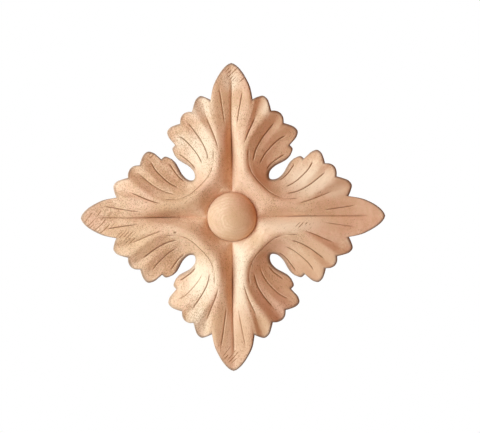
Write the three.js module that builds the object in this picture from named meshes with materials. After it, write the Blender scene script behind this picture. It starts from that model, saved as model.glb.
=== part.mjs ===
// A carved wooden rosette: four leaf arms in a cross round a ball, each arm a broad valley between curled
// ridges, with fluted lobes down both sides and an open eye between every two arms. One solid piece of wood
// with a flat back. Millimetres, +Z up. The back lies in the plane y = 0 with the origin at its centre,
// and the carving faces -Y.

import * as THREE from 'three';
import { mergeVertices } from 'three/addons/utils/BufferGeometryUtils.js';

// Sizes over all
const span = 150; // from tip to tip
const shrinkage = 0.99; // width over height, as wood dries narrower across its upright grain
const ballRadius = 11.9;
const ballHeight = 15.5; // top of the ball above the back

// Heights of the carving above the back
const crestHeight = 14; // the curled ridge beside the ball
const crestAtRim = 8.9; // and where it runs out between two lobes
const valleyHeight = 8; // the arm's middle, and the dish round the ball's foot
const valleyDip = 7.1; // where it sinks before the lobes
const valleySwell = 8.3; // where it rises between them
const valleyBend = 6.4; // where it falls beside the side veins
const valleyAtTip = 5.2;
const eyeHeight = 8; // the edge of the eye at its inner end
const leafThickness = 3.8; // and at its neck
const rimRounding = 0.8; // radius of the edge

// Depths of the flutes at the rim, from the tip outwards round the leaf
const sideVeinDepth = 0.7;
const firstFluteDepth = 3.2;
const secondFluteDepth = 1.9;
const thirdFluteDepth = 1.6;
const fourthFluteDepth = 0.3;

// Fineness of the faces
const facesAcrossStrip = 3; // between a flute and the ridge beside it
const facesAlong = 15; // from the ball or the scoop to the rim
const facesUpBall = 6;
const crowding = 0.62; // share by which the faces are shorter at the ball and at the rim
const samplesPerPoint = 24; // on every curve, before it is divided evenly
const touching = 1e-4; // points closer than this are one

// Half of a leaf is drawn along +X with its middle on the x axis, and the other seven halves repeat it.
// Its places are shares of half the span, [along the arm, across it].
const half = span / 2;
const TIP = [1, 0];
const VEIN_END = [0.907, 0.09];
const NOTCH_1 = [0.76, 0.134];
const LOBE_1 = [0.784, 0.205];
const NOTCH_2 = [0.684, 0.258];
const LOBE_2 = [0.671, 0.319];
const NOTCH_3 = [0.607, 0.34];
const LOBE_3 = [0.556, 0.43];
const NOTCH_4 = [0.469, 0.377];
const LOBE_4 = [0.445, 0.395];
const NECK = [0.402, 0.38]; // where the eye opens between two leaves
const CREST = [0.199, 0.199]; // the curled ridge where it crosses from one arm to the next
const SCOOP = [0.224, 0.224]; // the root of the third flute
const EYE = [0.248, 0.248]; // the inner end of the eye

// The rim, one curve from notch to notch
const LOBES = [
  [TIP, [0.982, 0.034], [0.949, 0.064], VEIN_END, [0.846, 0.117], NOTCH_1],
  [NOTCH_1, [0.775, 0.167], LOBE_1, [0.763, 0.233], [0.726, 0.247], NOTCH_2],
  [NOTCH_2, [0.684, 0.29], LOBE_2, [0.645, 0.336], NOTCH_3],
  [NOTCH_3, [0.598, 0.373], [0.582, 0.41], LOBE_3, [0.52, 0.421], [0.489, 0.395], NOTCH_4],
  [NOTCH_4, LOBE_4, NECK],
];

// The lines that the carving follows: the curled ridge, the third flute and the edge of the eye
const RIDGE_LINE = [CREST, [0.227, 0.172], [0.259, 0.146], [0.317, 0.118], [0.389, 0.109], [0.453, 0.113],
  [0.518, 0.137], [0.583, 0.179], NOTCH_2];
const FLUTE_LINE = [SCOOP, [0.249, 0.205], [0.285, 0.19], [0.337, 0.189], [0.395, 0.214], [0.453, 0.259],
  [0.512, 0.324], LOBE_3];
const EYE_LINE = [EYE, [0.266, 0.242], [0.299, 0.25], [0.332, 0.281], [0.358, 0.327], [0.376, 0.356], NECK];

// Columns run from the ball or the scoop out to these places on the rim: the leaf's middle, then flutes and
// ridges by turns, and last the eye's edge. Those without a line of their own lie between two that have
// one, by a share, and are pulled to their own ends.
const COLUMN_ENDS = [TIP, VEIN_END, NOTCH_1, LOBE_1, NOTCH_2, LOBE_2, NOTCH_3, LOBE_3, NOTCH_4, LOBE_4,
  NECK];
const [MIDDLE, SIDE_VEIN, CORNER, FLUTE_1, RIDGE, FLUTE_2, RIDGE_2, FLUTE_3, RIDGE_3, FLUTE_4, EDGE]
  = COLUMN_ENDS.keys();
const BETWEEN = {
  [SIDE_VEIN]: { from: MIDDLE, to: RIDGE, share: 0.08, endPull: 1.5, rootReach: 0.15 },
  [CORNER]: { from: MIDDLE, to: RIDGE, share: 0.95, endPull: 3, rootReach: 1 },
  [FLUTE_1]: { from: MIDDLE, to: RIDGE, share: 1, endPull: 3, rootReach: 1 },
  [FLUTE_2]: { from: RIDGE, to: FLUTE_3, share: 0.45, endPull: 6, rootReach: 1 },
  [RIDGE_2]: { from: RIDGE, to: FLUTE_3, share: 0.75, endPull: 6, rootReach: 1 },
  [RIDGE_3]: { from: FLUTE_3, to: EDGE, share: 0.5, endPull: 1.5, rootReach: 1 },
  [FLUTE_4]: { from: FLUTE_3, to: EDGE, share: 0.75, endPull: 3, rootReach: 1 },
};
const rimPull = 7; // how close to the rim the faces start to follow the lobes' curves
const footPull = 30; // and how close to the ball they follow its foot

// A flute deepens between the first two shares of its column. The side vein runs out again before the rim.
const FLUTES = [
  { column: SIDE_VEIN, depth: sideVeinDepth, opens: [0.5, 0.75], closes: [0.82, 1] },
  { column: FLUTE_1, depth: firstFluteDepth, opens: [0.45, 1.05] },
  { column: FLUTE_2, depth: secondFluteDepth, opens: [0.28, 0.95] },
  { column: FLUTE_3, depth: thirdFluteDepth, opens: [0.5, 1.05] },
  { column: FLUTE_4, depth: fourthFluteDepth, opens: [0.5, 1] },
];
const fluteBreadth = 0.65; // power that fills a flute out: 1 leaves it narrow, with wide round ridges
const FLUTE_SOFTENS = [0.6, 0.92]; // shares of the way between which its sharp bottom turns round

// The arm's middle as [share of the way out, height], and the curled ridge as [that share, share of the
// fall from its height beside the ball to that at the rim]
const VALLEY = [[0, valleyHeight], [0.3, valleyDip], [0.55, valleySwell], [0.8, valleyBend],
  [1, valleyAtTip]];
const CREST_FALL = [[0, 0], [0.25, 0], [0.45, 0.05], [0.65, 0.22], [0.85, 0.61], [1, 1]];

// An arm's sides, beside the ball and over the lobes
const STEEPNESS = [2, 2.6]; // their slope at the arm's middle, over that of straight sides
const TURNS = [2, 1.15]; // powers by which they round over into the ridge
const SIDE_CHANGES = [0, 0.6]; // shares of the way between which the one changes to the other
const merge = 4; // how sharply two arms' valleys, and the dish round the ball, turn into each other
const HOLLOWS = [1, 2]; // powers of the hollow from the ridge to the eye, at its root and over the lobes
const HOLLOW_CHANGES = [0.1, 0.6];

const wood = new THREE.MeshStandardMaterial({ color: 0xe2b58b, roughness: 0.72, metalness: 0 });

const mix = (a, b, share) => a + (b - a) * share;

// A step from 0 to 1 between two stations, level at both ends.
function rise(x, [from, to]) {
  const s = Math.min(Math.max((x - from) / (to - from), 0), 1);
  return s * s * (3 - 2 * s);
}

// Points of a smooth curve through some points. before is a point that it comes from, and is left out.
function curveThrough(points, before) {
  const all = (before ? [before, ...points] : points).map(([x, y]) => new THREE.Vector3(x, y, 0));
  const curve = new THREE.CatmullRomCurve3(all);
  const spans = all.length - 1;
  const first = before ? samplesPerPoint : 0;
  const count = spans * samplesPerPoint;
  const line = [];
  for (let i = first; i <= count; i += 1) {
    const p = curve.getPoint(i / count);
    line.push([p.x, p.y]);
  }
  return line;
}

const scaled = (line, factor) => line.map(([x, y]) => [x * factor, y * factor]);

// Adds to a line the share of its length that lies behind each point.
function measured(line) {
  const lengths = [0];
  for (let i = 1; i < line.length; i += 1) {
    const step = Math.hypot(line[i][0] - line[i - 1][0], line[i][1] - line[i - 1][1]);
    lengths.push(lengths[i - 1] + step);
  }
  const total = lengths[lengths.length - 1];
  return { line, shares: lengths.map((length) => length / total) };
}

// The point at a share of a measured line's length.
function pointAt({ line, shares }, share) {
  let i = 1;
  while (i < line.length - 1 && shares[i] < share) i += 1;
  const part = (share - shares[i - 1]) / (shares[i] - shares[i - 1]);
  return [mix(line[i - 1][0], line[i][0], part), mix(line[i - 1][1], line[i][1], part)];
}

function nearestIndex(line, [x, y]) {
  const gaps = line.map((p) => Math.hypot(p[0] - x, p[1] - y));
  return gaps.indexOf(Math.min(...gaps));
}

// The rim between each two columns' ends, as measured lines.
function rimStretches() {
  const stretches = [];
  LOBES.forEach((points, lobe) => {
    const mirrored = lobe === 0 ? [points[1][0], -points[1][1]] : null;
    const line = curveThrough(points, mirrored);
    const stops = COLUMN_ENDS.filter((end) => points.includes(end)).map((end) => nearestIndex(line, end));
    for (let i = 1; i < stops.length; i += 1) {
      stretches.push(measured(scaled(line.slice(stops[i - 1], stops[i] + 1), half)));
    }
  });
  return stretches;
}

// A line that leaves the diagonal between two arms squarely, as its mirror image joins it there.
function lineFromDiagonal(points) {
  const mirrored = [points[1][1], points[1][0]];
  return measured(scaled(curveThrough(points, mirrored), half));
}

const rims = rimStretches();
const guides = {
  [MIDDLE]: measured([[ballRadius, 0], [half, 0]]),
  [RIDGE]: lineFromDiagonal(RIDGE_LINE),
  [FLUTE_3]: lineFromDiagonal(FLUTE_LINE),
  [EDGE]: lineFromDiagonal(EYE_LINE),
};

// Where a column starts: on the ball's foot as far as the corner, and then out along the diagonal.
function rootAt(column) {
  if (column <= CORNER) {
    const angle = (column / CORNER) * (Math.PI / 4);
    return [ballRadius * Math.cos(angle), ballRadius * Math.sin(angle)];
  }
  const foot = ballRadius * Math.SQRT1_2;
  const out = column <= RIDGE
    ? mix(foot, CREST[0] * half, (column - CORNER) / (RIDGE - CORNER))
    : mix(CREST[0] * half, EYE[0] * half, (column - RIDGE) / (EDGE - RIDGE));
  return [out, out];
}

// The plan of a whole-numbered column at a share of the way out.
function columnAt(column, way) {
  if (guides[column]) return pointAt(guides[column], way);
  const { from, to, share, endPull, rootReach } = BETWEEN[column];
  const between = (w, axis) => mix(pointAt(guides[from], w)[axis], pointAt(guides[to], w)[axis], share);
  const root = rootAt(column);
  const rootShare = 1 - rise(way, [0, rootReach]);
  return [0, 1].map((axis) => between(way, axis)
    + (COLUMN_ENDS[column][axis] * half - between(1, axis)) * way ** endPull
    + (root[axis] - between(0, axis)) * rootShare);
}

// The plan of any place on the half leaf.
function planAt(column, way) {
  const strip = Math.min(Math.floor(column), EDGE - 1);
  const part = column - strip;
  const [near, far] = [columnAt(strip, way), columnAt(strip + 1, way)];
  const [rimNear, rimFar, rim] = [0, 1, part].map((share) => pointAt(rims[strip], share));
  const [rootNear, rootFar, root] = [rootAt(strip), rootAt(strip + 1), rootAt(column)];
  return [0, 1].map((axis) => mix(near[axis], far[axis], part)
    + (rim[axis] - mix(rimNear[axis], rimFar[axis], part)) * way ** rimPull
    + (root[axis] - mix(rootNear[axis], rootFar[axis], part)) * (1 - way) ** footPull);
}

// A smooth curve of values over the way, level at the root, and its value at one share of the way.
const levelAtRoot = (knots) => curveThrough(knots, [-knots[1][0], knots[1][1]]);

function valueAt(curve, way) {
  let i = 1;
  while (i < curve.length - 1 && curve[i][0] < way) i += 1;
  return mix(curve[i - 1][1], curve[i][1], (way - curve[i - 1][0]) / (curve[i][0] - curve[i - 1][0]));
}

const valleyCurve = levelAtRoot(VALLEY);
const crestCurve = levelAtRoot(CREST_FALL);

function distanceTo(line, [x, y]) {
  return Math.min(...line.map((p) => Math.hypot(p[0] - x, p[1] - y)));
}

// The leaf's broad form: up from the arm's valley or the ball to the ridge, and the hollow leaf beyond it.
function broadHeight(column, way, [x, y]) {
  const crest = mix(crestHeight, crestAtRim, valueAt(crestCurve, way));
  if (column >= RIDGE) {
    const edge = mix(eyeHeight, leafThickness, way);
    const out = (column - RIDGE) / (EDGE - RIDGE);
    const power = mix(...HOLLOWS, rise(way, HOLLOW_CHANGES));
    return edge + (crest - edge) * (1 - out) ** power;
  }
  const valley = valueAt(valleyCurve, way);
  const gaps = [x, y, Math.hypot(x, y) - ballRadius].map((gap) => Math.max(gap, touching));
  const toMiddle = gaps.reduce((sum, gap) => sum + gap ** -merge, 0) ** (-1 / merge);
  const up = toMiddle / (toMiddle + distanceTo(guides[RIDGE].line, [x, y]));
  const outer = rise(way, SIDE_CHANGES);
  const [steepness, turn] = [mix(...STEEPNESS, outer), mix(...TURNS, outer)];
  return valley + (crest - valley) * up * (steepness - (steepness - 1) * up ** turn);
}

// How deep the flutes cut at a place: sharp in the bottom, and a round hollow near the rim.
function fluteCut(column, way) {
  return FLUTES.reduce((sum, flute) => {
    const away = Math.min(Math.abs(column - flute.column), 1);
    const sharp = Math.max(1 - Math.sin((away * Math.PI) / 2), 0) ** fluteBreadth;
    const across = mix(sharp, 1 - rise(away, [0, 1]), rise(way, FLUTE_SOFTENS));
    const left = flute.closes ? 1 - rise(way, flute.closes) : 1;
    return sum + flute.depth * rise(way, flute.opens) * left * across;
  }, 0);
}

// How far the rounded edge has fallen at a distance from the rim.
function rimFall(distance) {
  const near = Math.max(1 - distance / rimRounding, 0);
  return rimRounding * (1 - Math.sqrt(1 - near * near));
}

// The half leaf as a grid of [x, y, height], with a row of columns at every step of the way out.
function halfLeaf() {
  const rows = [];
  for (let j = 0; j <= facesAlong; j += 1) {
    const turn = (j / facesAlong) * 2 * Math.PI;
    const way = (turn - crowding * Math.sin(turn)) / (2 * Math.PI);
    const row = [];
    for (let i = 0; i <= EDGE * facesAcrossStrip; i += 1) {
      const column = i / facesAcrossStrip;
      const place = planAt(column, way);
      const end = planAt(column, 1);
      const side = planAt(EDGE, way);
      const distance = Math.min(
        Math.hypot(place[0] - end[0], place[1] - end[1]),
        Math.hypot(place[0] - side[0], place[1] - side[1]),
      );
      const height = broadHeight(column, way, place) - fluteCut(column, way) - rimFall(distance);
      row.push([...place, height]);
    }
    rows.push(row);
  }
  return rows;
}

// An eighth of the ball over its foot, as rings that close in on its top.
function ballRings(foot) {
  const rings = [foot];
  for (let j = 1; j <= facesUpBall; j += 1) {
    const angle = (j / facesUpBall) * (Math.PI / 2);
    rings.push(foot.map(([x, y, height]) => [
      x * Math.cos(angle),
      y * Math.cos(angle),
      mix(height, ballHeight, Math.sin(angle)),
    ]));
  }
  return rings;
}

// Two triangles for every cell of a grid, leaving out those that have shrunk to nothing.
function gridTriangles(grid) {
  const triangles = [];
  for (let j = 1; j < grid.length; j += 1) {
    for (let i = 1; i < grid[j].length; i += 1) {
      const [a, b, c, d] = [grid[j - 1][i - 1], grid[j][i - 1], grid[j][i], grid[j - 1][i]];
      triangles.push([a, b, c], [a, c, d]);
    }
  }
  const apart = (p, q) => Math.hypot(p[0] - q[0], p[1] - q[1], p[2] - q[2]) > touching;
  return triangles.filter(([a, b, c]) => apart(a, b) && apart(b, c) && apart(c, a));
}

// A copy of a point for the given quarter turn, mirrored first if asked.
function turned([x, y, height], quarter, mirror) {
  const side = mirror ? -y : y;
  const [cos, sin] = [[1, 0], [0, 1], [-1, 0], [0, -1]][quarter];
  return [(cos * x - sin * side) * shrinkage, sin * x + cos * side, height];
}

function rosetteGeometry() {
  const leaf = halfLeaf();
  const foot = leaf[0].slice(0, CORNER * facesAcrossStrip + 1);
  const rim = [...leaf[leaf.length - 1], ...leaf.slice(0, -1).reverse().map((row) => row[row.length - 1])];
  const back = rim.map(([x, y]) => [x, y, 0]);
  const piece = [leaf, ballRings(foot).reverse(), [rim, back]].flatMap(gridTriangles);
  const triangles = [];
  const outline = [];
  for (let quarter = 0; quarter < 4; quarter += 1) {
    for (const mirror of [true, false]) {
      const place = (p) => turned(p, quarter, mirror);
      for (const [a, b, c] of piece) {
        triangles.push((mirror ? [a, c, b] : [a, b, c]).map(place));
      }
      const stretch = back.slice(mirror ? 1 : 0, mirror ? back.length : -1).map(place);
      outline.push(...(mirror ? stretch.reverse() : stretch));
    }
  }
  const flat = outline.map(([x, y]) => new THREE.Vector2(x, y));
  for (const [a, b, c] of THREE.ShapeUtils.triangulateShape(flat, [])) {
    triangles.push([outline[a], outline[c], outline[b]]);
  }
  const geometry = new THREE.BufferGeometry();
  const positions = triangles.flat().flatMap(([x, y, height]) => [x, -height, y]);
  geometry.setAttribute('position', new THREE.Float32BufferAttribute(positions, 3));
  const merged = mergeVertices(geometry, touching);
  merged.computeVertexNormals();
  return merged;
}

const rosette = new THREE.Mesh(rosetteGeometry(), wood);
rosette.name = 'carved_rosette';

const part = new THREE.Group();
part.add(rosette);

export default part;
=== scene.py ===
"""A carved wooden rosette, lit softly from the left over a pale floor.

The rosette is one piece of raw wood with a flat back: four leaf arms in a cross round a ball, each arm a
broad valley between curled ridges, with fluted lobes down both sides and an open eye between every two
arms. Its solid is built again here with a finer surface, as one function of two numbers. The column counts
the carved lines from the middle of an arm (0) to the edge of the eye (10), and the way runs from the ball
or the scoop (0) out to the rim (1). Half a leaf is worked out like this, and eight make the rosette. Metres
throughout but for the wood's patterns, +Z up, the carving facing -Y and the back in the plane y = 0.
"""

import logging
import math
from dataclasses import dataclass, field
from enum import IntEnum
from functools import reduce

import bpy
import numpy as np
from mathutils import Matrix, Vector


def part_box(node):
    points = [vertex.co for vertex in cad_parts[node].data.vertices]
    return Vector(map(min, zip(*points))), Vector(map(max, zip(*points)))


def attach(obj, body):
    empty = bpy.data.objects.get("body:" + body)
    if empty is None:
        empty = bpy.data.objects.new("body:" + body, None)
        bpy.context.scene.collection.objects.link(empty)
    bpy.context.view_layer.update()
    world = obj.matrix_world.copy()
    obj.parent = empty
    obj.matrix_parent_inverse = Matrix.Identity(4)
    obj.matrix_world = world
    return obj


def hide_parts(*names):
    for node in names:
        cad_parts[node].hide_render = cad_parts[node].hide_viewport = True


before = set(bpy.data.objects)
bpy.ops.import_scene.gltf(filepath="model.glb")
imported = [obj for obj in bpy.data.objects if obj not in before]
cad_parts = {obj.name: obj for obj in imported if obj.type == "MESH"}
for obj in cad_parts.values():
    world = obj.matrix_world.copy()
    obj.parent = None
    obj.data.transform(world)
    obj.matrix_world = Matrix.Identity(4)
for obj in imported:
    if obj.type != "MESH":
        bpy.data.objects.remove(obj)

log = logging.getLogger("rosette")

MM = 0.001
NODE = "carved_rosette"
SURFACE = "carved_rosette_surface"
HAIR = 1e-9  # a length that stands in for none where something is divided by it
FLAT = np.array([1.0, 0.0, 1.0])  # times a point, its foot in the plane of the back

Point = tuple[float, float]
Range = tuple[float, float]
Triple = tuple[float, float, float]
Colour = tuple[float, float, float, float]


def rise(x: np.ndarray | float, start: float = 0.0, end: float = 1.0) -> np.ndarray | float:
    """A step from 0 at the start to 1 at the end that is level at both."""
    s = np.clip((x - start) / (end - start), 0.0, 1.0)
    return s * s * (3 - 2 * s)


def curve_through(points: list[Point], before: Point | None = None, samples: int = 24) -> np.ndarray:
    """Dense points of a smooth curve through some points.

    Each stretch is a cubic whose end slopes come from the neighbouring points, weighed by the square roots
    of their distances, so that close points make no loop (a centripetal Catmull-Rom curve).

    Args:
        points: the points that it passes through.
        before: a point that it comes from, which only sets its first slope.
        samples: how many points each stretch gets.

    Returns:
        An array of the curve's points, one to a row.
    """
    p = np.array(points, float)
    first = 2 * p[0] - p[1] if before is None else np.array(before, float)
    p = np.vstack([first, p, 2 * p[-1] - p[-2]])
    gaps = np.sqrt(np.linalg.norm(np.diff(p, axis=0), axis=1))[:, None]
    a, b, c, d = p[:-3], p[1:-2], p[2:-1], p[3:]
    ab, bc, cd = gaps[:-2], gaps[1:-1], gaps[2:]
    leaving = ((b - a) / ab - (c - a) / (ab + bc) + (c - b) / bc) * bc
    arriving = ((c - b) / bc - (d - b) / (bc + cd) + (d - c) / cd) * bc
    s = (np.arange(samples) / samples)[None, :, None]
    b, c, leaving, arriving = (v[:, None, :] for v in (b, c, leaving, arriving))
    square = 3 * (c - b) - 2 * leaving - arriving
    cube = 2 * (b - c) + leaving + arriving
    curve = b + leaving * s + square * s**2 + cube * s**3
    return np.vstack([curve.reshape(-1, p.shape[1]), p[-2]])


def shown(name: str, data: bpy.types.ID) -> bpy.types.Object:
    """Makes an object of a mesh, light or camera and puts it into the scene.

    Args:
        name: the object's name.
        data: what it shows.

    Returns:
        The object.
    """
    thing = bpy.data.objects.new(name, data)
    bpy.context.scene.collection.objects.link(thing)
    return thing


@dataclass
class Line:
    """A line in the plan, divided evenly by its length.

    Attributes:
        points: its dense points, one to a row.
    """

    points: np.ndarray

    def __post_init__(self) -> None:
        """Measures the share of the length behind each point."""
        lengths = np.concatenate([[0.0], np.cumsum(np.linalg.norm(np.diff(self.points, axis=0), axis=1))])
        self.shares = lengths / lengths[-1]

    def at(self, share: np.ndarray | float) -> np.ndarray:
        """The points at shares of the length, with x and y on the last axis."""
        return np.stack([np.interp(share, self.shares, self.points[:, k]) for k in (0, 1)], -1)

    def distance(self, places: np.ndarray) -> np.ndarray:
        """How far places, with x and y on their last axis, lie from the line's nearest point.

        Args:
            places: points, with x and y on their last axis.

        Returns:
            A distance for each.
        """
        flat = places.reshape(-1, 1, 2)
        gaps = np.linalg.norm(flat - self.points[None], axis=2)
        return gaps.min(1).reshape(places.shape[:-1])


class Guide(IntEnum):
    """The columns that have a line of their own."""

    MIDDLE = 0
    RIDGE = 4
    FLUTE = 7
    EDGE = 10


@dataclass(frozen=True)
class Between:
    """A column that lies between two guides and is pulled to its own ends.

    Attributes:
        near: the guide before it.
        far: the guide after it.
        share: how far it lies from the one to the other.
        end_pull: the power by which its outer end draws it.
        root_reach: the share of the way over which its root draws it.
    """

    near: Guide
    far: Guide
    share: float
    end_pull: float
    root_reach: float


@dataclass
class LeafPlan:
    """The plan of half a leaf along +X, in metres, from shares of half the span.

    Attributes:
        half: half the span.
        ball_radius: radius of the ball at the leaf's root.
        ends: the rim's notches and lobe tips, where the columns end.
        lobes: the rim, one curve from notch to notch.
        ridge, flute, eye: the carved lines that leave the diagonal between two arms squarely.
        between: the other columns.
        foot_columns: the last column that starts round the ball's foot.
        rim_pull: power of the way by which the columns come to follow the lobes' curves.
        foot_pull: and of the way back, by which they follow the ball's foot.
    """

    half: float
    ball_radius: float = 11.9 * MM
    ends: tuple[Point, ...] = (
        (1, 0), (0.907, 0.09), (0.76, 0.134), (0.784, 0.205), (0.684, 0.258), (0.671, 0.319),
        (0.607, 0.34), (0.556, 0.43), (0.469, 0.377), (0.445, 0.395), (0.402, 0.38),
    )
    lobes: tuple[tuple[Point, ...], ...] = (
        ((1, 0), (0.982, 0.034), (0.949, 0.064), (0.907, 0.09), (0.846, 0.117), (0.76, 0.134)),
        ((0.76, 0.134), (0.775, 0.167), (0.784, 0.205), (0.763, 0.233), (0.726, 0.247), (0.684, 0.258)),
        ((0.684, 0.258), (0.684, 0.29), (0.671, 0.319), (0.645, 0.336), (0.607, 0.34)),
        ((0.607, 0.34), (0.598, 0.373), (0.582, 0.41), (0.556, 0.43), (0.52, 0.421), (0.489, 0.395),
         (0.469, 0.377)),
        ((0.469, 0.377), (0.445, 0.395), (0.402, 0.38)),
    )
    ridge: tuple[Point, ...] = (
        (0.199, 0.199), (0.227, 0.172), (0.259, 0.146), (0.317, 0.118), (0.389, 0.109), (0.453, 0.113),
        (0.518, 0.137), (0.583, 0.179), (0.684, 0.258),
    )
    flute: tuple[Point, ...] = (
        (0.224, 0.224), (0.249, 0.205), (0.285, 0.19), (0.337, 0.189), (0.395, 0.214), (0.453, 0.259),
        (0.512, 0.324), (0.556, 0.43),
    )
    eye: tuple[Point, ...] = (
        (0.248, 0.248), (0.266, 0.242), (0.299, 0.25), (0.332, 0.281), (0.358, 0.327), (0.376, 0.356),
        (0.402, 0.38),
    )
    between: dict[int, Between] = field(default_factory=lambda: {
        1: Between(Guide.MIDDLE, Guide.RIDGE, 0.08, 1.5, 0.15),
        2: Between(Guide.MIDDLE, Guide.RIDGE, 0.95, 3, 1),
        3: Between(Guide.MIDDLE, Guide.RIDGE, 1, 3, 1),
        5: Between(Guide.RIDGE, Guide.FLUTE, 0.45, 6, 1),
        6: Between(Guide.RIDGE, Guide.FLUTE, 0.75, 6, 1),
        8: Between(Guide.FLUTE, Guide.EDGE, 0.5, 1.5, 1),
        9: Between(Guide.FLUTE, Guide.EDGE, 0.75, 3, 1),
    })
    foot_columns: int = 2
    rim_pull: float = 7
    foot_pull: float = 30

    def __post_init__(self) -> None:
        """Works out the guides and the rim."""
        self.guides = {
            Guide.MIDDLE: Line(np.array([[self.ball_radius, 0.0], [self.half, 0.0]])),
            Guide.RIDGE: self._from_diagonal(self.ridge),
            Guide.FLUTE: self._from_diagonal(self.flute),
            Guide.EDGE: self._from_diagonal(self.eye),
        }
        self.rims = self._rim_stretches()

    def _from_diagonal(self, points: tuple[Point, ...]) -> Line:
        """A line that meets its mirror image in the diagonal without a corner."""
        return Line(curve_through(list(points), (points[1][1], points[1][0])) * self.half)

    def _rim_stretches(self) -> list[Line]:
        """The rim between each two columns' ends.

        Returns:
            A line for each strip between two columns, from column 0 on.
        """
        stretches = []
        for n, lobe in enumerate(self.lobes):
            mirrored = (lobe[1][0], -lobe[1][1]) if n == 0 else None
            curve = curve_through(list(lobe), mirrored)
            ends = [np.array(end) for end in self.ends if end in lobe]
            stops = [int(np.argmin(np.linalg.norm(curve - end, axis=1))) for end in ends]
            stretches += [Line(curve[a : b + 1] * self.half) for a, b in zip(stops, stops[1:])]
        return stretches

    def root(self, column: np.ndarray) -> np.ndarray:
        """Where columns start: round the ball's foot, and past the last of those out along the diagonal.

        Args:
            column: columns, whole or not.

        Returns:
            The places, with x and y on the last axis.
        """
        angle = np.clip(column / self.foot_columns, 0, 1) * math.pi / 4
        foot = self.ball_radius * np.stack([np.cos(angle), np.sin(angle)], -1)
        ridge, eye = self.ridge[0][0] * self.half, self.eye[0][0] * self.half
        on_diagonal = (self.ball_radius * math.sqrt(0.5), ridge, eye)
        out = np.interp(column, (self.foot_columns, Guide.RIDGE, Guide.EDGE), on_diagonal)
        return np.where((column > self.foot_columns)[..., None], np.stack([out, out], -1), foot)

    def column(self, number: int, way: np.ndarray) -> np.ndarray:
        """A whole-numbered column's places at shares of the way out.

        A column between two guides is their weighed mean, plus the gap to its own end times a power of the
        way, plus the gap to its own root times a smooth fall.

        Args:
            number: the column.
            way: shares of the way out.

        Returns:
            The places, with x and y on the last axis.
        """
        if number in self.guides:
            return self.guides[number].at(way)
        rule = self.between[number]
        near, far = (self.guides[guide] for guide in (rule.near, rule.far))

        def mean(w: np.ndarray | float) -> np.ndarray:
            """The weighed mean of the two guides."""
            return near.at(w) * (1 - rule.share) + far.at(w) * rule.share

        end = np.array(self.ends[number]) * self.half
        root = self.root(np.array(float(number)))
        w = np.asarray(way)[..., None]
        to_end = (end - mean(1.0)) * w**rule.end_pull
        to_root = (root - mean(0.0)) * (1 - rise(w, 0, rule.root_reach))
        return mean(way) + to_end + to_root

    def places(self, column: np.ndarray, way: np.ndarray) -> np.ndarray:
        """The plan of any places on the half leaf.

        Between two whole columns a place is their weighed mean, plus what the rim bulges over its chord
        times a high power of the way, plus the same for the ball's foot from the other end.

        Args:
            column: the column of each place.
            way: its share of the way out.

        Returns:
            The places, with x and y on the last axis.
        """
        out = np.zeros(column.shape + (2,))
        strips = np.minimum(np.floor(column).astype(int), Guide.EDGE - 1)
        for n, rim in enumerate(self.rims):
            inside = strips == n
            part, w = (column[inside] - n)[:, None], way[inside][:, None]
            chord = rim.at(0.0) * (1 - part) + rim.at(1.0) * part
            roots = self.root(np.array([n, n + 1.0]))
            foot = self.root(column[inside]) - (roots[0] * (1 - part) + roots[1] * part)
            line = self.column(n, w[:, 0]) * (1 - part) + self.column(n + 1, w[:, 0]) * part
            bulge = rim.at(part[:, 0]) - chord
            out[inside] = line + bulge * w**self.rim_pull + foot * (1 - w) ** self.foot_pull
        return out


@dataclass(frozen=True)
class Flute:
    """A flute along a column, sharp in its bottom and round near the rim, with a gouge line in it.

    Attributes:
        column: the column that it follows.
        depth: its depth at the rim, below the ridges beside it.
        opens: shares of the way between which it deepens.
        line: shares of the way where the gouge line starts and ends.
        closes: shares of the way between which it runs out again, if it does.
    """

    column: int
    depth: float
    opens: Range
    line: Range
    closes: Range | None = None


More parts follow.
